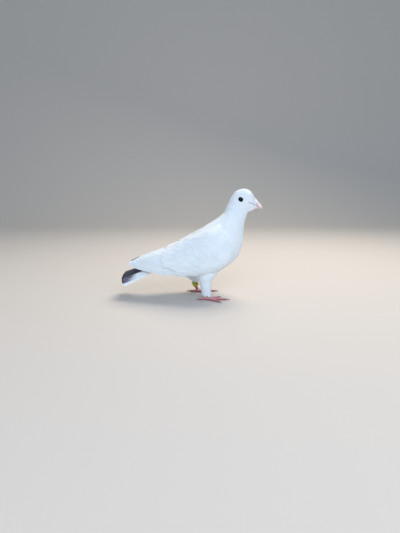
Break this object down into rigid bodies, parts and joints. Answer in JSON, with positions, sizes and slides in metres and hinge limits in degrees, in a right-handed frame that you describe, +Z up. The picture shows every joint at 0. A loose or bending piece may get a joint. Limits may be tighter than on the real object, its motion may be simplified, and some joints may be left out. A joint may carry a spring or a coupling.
{
  "type": "homing pigeon model",
  "caption": "Life-size still model of a white homing pigeon with dark tail tips, standing upright with folded wings and a band on one leg.",
  "frame": {"origin": "on the floor, under the middle of the model's box", "axes": "+X the way the bird faces, +Y its left, +Z up"},
  "size_m": [0.245, 0.097, 0.1895],
  "materials": {
    "body_feathers": "white contour feathers, soft and matt",
    "wing_feathers": "white flight and covert feathers, close webs with a faint sheen",
    "tail_feathers": "white feathers with slate and blue-black ends",
    "scaled_skin": "red scaled skin, satin",
    "claw_horn": "grey-brown horn",
    "bill_horn": "pale pink horn, satin, cream at the tip",
    "cere_skin": "chalky white bare skin",
    "eye_surface": "near-black, wet and glossy",
    "ring_plastic": "olive-yellow plastic band"
  },
  "bodies": {
    "root": {"torso": "body_feathers", "neck": "body_feathers", "head": "body_feathers", "wing_left": "wing_feathers", "wing_right": "wing_feathers", "tail": "tail_feathers", "thigh_left": "body_feathers", "thigh_right": "body_feathers", "shank_left": "scaled_skin", "shank_right": "scaled_skin", "foot_left": "scaled_skin", "foot_right": "scaled_skin", "claw_inner_left": "claw_horn", "claw_middle_left": "claw_horn", "claw_outer_left": "claw_horn", "claw_hind_left": "claw_horn", "claw_inner_right": "claw_horn", "claw_middle_right": "claw_horn", "claw_outer_right": "claw_horn", "claw_hind_right": "claw_horn", "bill_upper": "bill_horn", "bill_lower": "bill_horn", "cere": "cere_skin", "eye_left": "eye_surface", "eye_right": "eye_surface", "leg_ring": "ring_plastic"}
  },
  "joints": []
}
